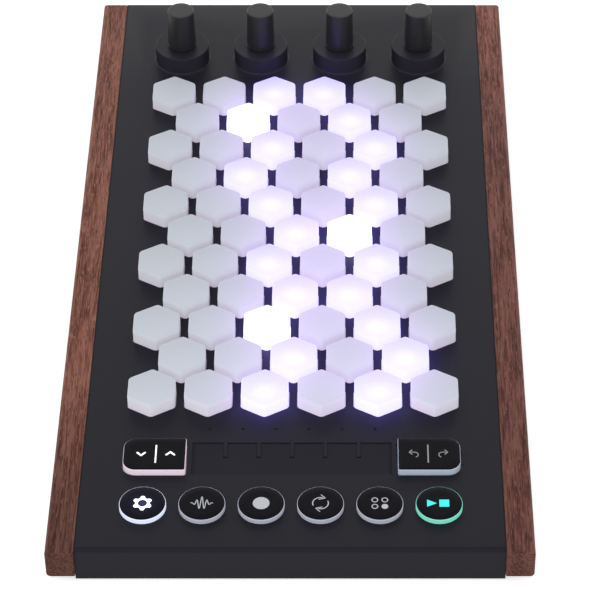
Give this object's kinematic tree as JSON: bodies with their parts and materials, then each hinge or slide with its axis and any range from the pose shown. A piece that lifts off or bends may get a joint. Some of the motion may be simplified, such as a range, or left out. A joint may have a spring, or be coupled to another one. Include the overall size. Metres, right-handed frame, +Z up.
{
  "type": "midi controller",
  "caption": "Flat black desktop controller between wooden cheeks: a field of six-sided glowing keys, push-and-turn knobs on round bosses, a touch strip, rocker and round buttons.",
  "frame": {"origin": "on the table, at the middle of the whole object's footprint", "axes": "+X to the player's right, +Y to the rear where the knobs and sockets are, +Z up"},
  "size_m": [0.2034, 0.387, 0.0483],
  "materials": {
    "black_case": "satin black moulded plastic",
    "cheek_wood": "open-pored reddish brown hardwood, oiled",
    "key_milk": "milky translucent plastic, satin",
    "button_milk": "milky translucent plastic under a black face",
    "knob_black": "smooth satin-gloss black",
    "strip_skin": "smooth black touch surface",
    "clear_plastic": "clear light guide plastic",
    "white_plastic": "white moulded plastic",
    "dome_rubber": "pale translucent silicone rubber",
    "foot_rubber": "black rubber",
    "circuit_board": "green solder mask",
    "light_chip": "white light-emitting chip",
    "socket_plastic": "black moulded plastic",
    "flex_film": "amber flexible film",
    "brass": "plain brass",
    "steel": "plain steel",
    "black_steel": "blackened steel"
  },
  "bodies": {
    "case": {"top_case": "black_case", "base_cover": "black_case", "left_cheek": "cheek_wood", "right_cheek": "cheek_wood", "cheek_inserts": "brass", "cheek_screws": "steel", "base_screws": "black_steel", "rubber_feet": "foot_rubber", "touch_strip": "strip_skin", "light_pipes": "clear_plastic", "key_guide": "white_plastic", "key_dome_mat": "dome_rubber", "key_board": "circuit_board", "key_lights": "light_chip", "button_dome_mat": "dome_rubber", "control_board": "circuit_board", "control_lights": "light_chip", "rocker_pins": "steel", "encoder_board": "circuit_board", "encoder_housings": "steel", "encoder_nuts": "steel", "connector_board": "circuit_board", "control_sockets": "socket_plastic", "midi_sockets": "socket_plastic", "usb_socket": "steel", "board_chips": "socket_plastic", "board_links": "flex_film", "board_header": "socket_plastic", "board_screws": "steel"},
    "key_row_1": {"key_row_1": "key_milk"},
    "key_row_2": {"key_row_2": "key_milk"},
    "key_row_3": {"key_row_3": "key_milk"},
    "key_row_4": {"key_row_4": "key_milk"},
    "key_row_5": {"key_row_5": "key_milk"},
    "key_row_6": {"key_row_6": "key_milk"},
    "key_row_7": {"key_row_7": "key_milk"},
    "key_row_8": {"key_row_8": "key_milk"},
    "key_row_9": {"key_row_9": "key_milk"},
    "key_row_10": {"key_row_10": "key_milk"},
    "key_row_11": {"key_row_11": "key_milk"},
    "round_button_1": {"round_button_1": "button_milk"},
    "round_button_2": {"round_button_2": "button_milk"},
    "round_button_3": {"round_button_3": "button_milk"},
    "round_button_4": {"round_button_4": "button_milk"},
    "round_button_5": {"round_button_5": "button_milk"},
    "round_button_6": {"round_button_6": "button_milk"},
    "left_rocker": {"left_rocker": "button_milk"},
    "right_rocker": {"right_rocker": "button_milk"},
    "knob_1_plunger": {"push_plunger_1": "white_plastic"},
    "knob_1_turning": {"knob_1": "knob_black", "encoder_shaft_1": "steel"},
    "knob_2_plunger": {"push_plunger_2": "white_plastic"},
    "knob_2_turning": {"knob_2": "knob_black", "encoder_shaft_2": "steel"},
    "knob_3_plunger": {"push_plunger_3": "white_plastic"},
    "knob_3_turning": {"knob_3": "knob_black", "encoder_shaft_3": "steel"},
    "knob_4_plunger": {"push_plunger_4": "white_plastic"},
    "knob_4_turning": {"knob_4": "knob_black", "encoder_shaft_4": "steel"}
  },
  "joints": [
    {"name": "key_row_1_press", "type": "slide", "parent": "case", "child": "key_row_1", "axis": [0, 0, -1], "range_m": [0, 0.0012], "stiffness_N_per_m": 3000, "springref_m": -0.0003, "deforming": ["key_dome_mat"]},
    {"name": "key_row_2_press", "type": "slide", "parent": "case", "child": "key_row_2", "axis": [0, 0, -1], "range_m": [0, 0.0012], "stiffness_N_per_m": 2500, "springref_m": -0.0003, "deforming": ["key_dome_mat"]},
    {"name": "key_row_3_press", "type": "slide", "parent": "case", "child": "key_row_3", "axis": [0, 0, -1], "range_m": [0, 0.0012], "stiffness_N_per_m": 3000, "springref_m": -0.0003, "deforming": ["key_dome_mat"]},
    {"name": "key_row_4_press", "type": "slide", "parent": "case", "child": "key_row_4", "axis": [0, 0, -1], "range_m": [0, 0.0012], "stiffness_N_per_m": 2500, "springref_m": -0.0003, "deforming": ["key_dome_mat"]},
    {"name": "key_row_5_press", "type": "slide", "parent": "case", "child": "key_row_5", "axis": [0, 0, -1], "range_m": [0, 0.0012], "stiffness_N_per_m": 3000, "springref_m": -0.0003, "deforming": ["key_dome_mat"]},
    {"name": "key_row_6_press", "type": "slide", "parent": "case", "child": "key_row_6", "axis": [0, 0, -1], "range_m": [0, 0.0012], "stiffness_N_per_m": 2500, "springref_m": -0.0003, "deforming": ["key_dome_mat"]},
    {"name": "key_row_7_press", "type": "slide", "parent": "case", "child": "key_row_7", "axis": [0, 0, -1], "range_m": [0, 0.0012], "stiffness_N_per_m": 3000, "springref_m": -0.0003, "deforming": ["key_dome_mat"]},
    {"name": "key_row_8_press", "type": "slide", "parent": "case", "child": "key_row_8", "axis": [0, 0, -1], "range_m": [0, 0.0012], "stiffness_N_per_m": 2500, "springref_m": -0.0003, "deforming": ["key_dome_mat"]},
    {"name": "key_row_9_press", "type": "slide", "parent": "case", "child": "key_row_9", "axis": [0, 0, -1], "range_m": [0, 0.0012], "stiffness_N_per_m": 3000, "springref_m": -0.0003, "deforming": ["key_dome_mat"]},
    {"name": "key_row_10_press", "type": "slide", "parent": "case", "child": "key_row_10", "axis": [0, 0, -1], "range_m": [0, 0.0012], "stiffness_N_per_m": 2500, "springref_m": -0.0003, "deforming": ["key_dome_mat"]},
    {"name": "key_row_11_press", "type": "slide", "parent": "case", "child": "key_row_11", "axis": [0, 0, -1], "range_m": [0, 0.0012], "stiffness_N_per_m": 3000, "springref_m": -0.0003, "deforming": ["key_dome_mat"]},
    {"name": "round_button_1_press", "type": "slide", "parent": "case", "child": "round_button_1", "axis": [0, 0, -1], "range_m": [0, 0.0009], "stiffness_N_per_m": 900, "springref_m": -0.0006, "deforming": ["button_dome_mat"]},
    {"name": "round_button_2_press", "type": "slide", "parent": "case", "child": "round_button_2", "axis": [0, 0, -1], "range_m": [0, 0.0009], "stiffness_N_per_m": 900, "springref_m": -0.0006, "deforming": ["button_dome_mat"]},
    {"name": "round_button_3_press", "type": "slide", "parent": "case", "child": "round_button_3", "axis": [0, 0, -1], "range_m": [0, 0.0009], "stiffness_N_per_m": 900, "springref_m": -0.0006, "deforming": ["button_dome_mat"]},
    {"name": "round_button_4_press", "type": "slide", "parent": "case", "child": "round_button_4", "axis": [0, 0, -1], "range_m": [0, 0.0009], "stiffness_N_per_m": 900, "springref_m": -0.0006, "deforming": ["button_dome_mat"]},
    {"name": "round_button_5_press", "type": "slide", "parent": "case", "child": "round_button_5", "axis": [0, 0, -1], "range_m": [0, 0.0009], "stiffness_N_per_m": 900, "springref_m": -0.0006, "deforming": ["button_dome_mat"]},
    {"name": "round_button_6_press", "type": "slide", "parent": "case", "child": "round_button_6", "axis": [0, 0, -1], "range_m": [0, 0.0009], "stiffness_N_per_m": 900, "springref_m": -0.0006, "deforming": ["button_dome_mat"]},
    {"name": "left_rocker_tilt", "type": "hinge", "parent": "case", "child": "left_rocker", "pos_m": [-0.05866, -0.13845, 0.0145], "axis": [0, 1, 0], "range_deg": [-3.5, 3.5], "stiffness_Nm_per_rad": 0.2, "deforming": ["button_dome_mat"]},
    {"name": "right_rocker_tilt", "type": "hinge", "parent": "case", "child": "right_rocker", "pos_m": [0.05866, -0.13845, 0.0145], "axis": [0, 1, 0], "range_deg": [-3.5, 3.5], "stiffness_Nm_per_rad": 0.2, "deforming": ["button_dome_mat"]},
    {"name": "knob_1_push", "type": "slide", "parent": "case", "child": "knob_1_plunger", "axis": [0, 0, -1], "range_m": [0, 0.0005], "stiffness_N_per_m": 4000, "springref_m": -0.0005},
    {"name": "knob_1_turn", "type": "hinge", "parent": "knob_1_plunger", "child": "knob_1_turning", "pos_m": [-0.0591, 0.14605, 0.0275], "axis": [0, 0, 1], "continuous": true},
    {"name": "knob_2_push", "type": "slide", "parent": "case", "child": "knob_2_plunger", "axis": [0, 0, -1], "range_m": [0, 0.0005], "stiffness_N_per_m": 4000, "springref_m": -0.0005},
    {"name": "knob_2_turn", "type": "hinge", "parent": "knob_2_plunger", "child": "knob_2_turning", "pos_m": [-0.0197, 0.14605, 0.0275], "axis": [0, 0, 1], "continuous": true},
    {"name": "knob_3_push", "type": "slide", "parent": "case", "child": "knob_3_plunger", "axis": [0, 0, -1], "range_m": [0, 0.0005], "stiffness_N_per_m": 4000, "springref_m": -0.0005},
    {"name": "knob_3_turn", "type": "hinge", "parent": "knob_3_plunger", "child": "knob_3_turning", "pos_m": [0.0197, 0.14605, 0.0275], "axis": [0, 0, 1], "continuous": true},
    {"name": "knob_4_push", "type": "slide", "parent": "case", "child": "knob_4_plunger", "axis": [0, 0, -1], "range_m": [0, 0.0005], "stiffness_N_per_m": 4000, "springref_m": -0.0005},
    {"name": "knob_4_turn", "type": "hinge", "parent": "knob_4_plunger", "child": "knob_4_turning", "pos_m": [0.0591, 0.14605, 0.0275], "axis": [0, 0, 1], "continuous": true}
  ]
}
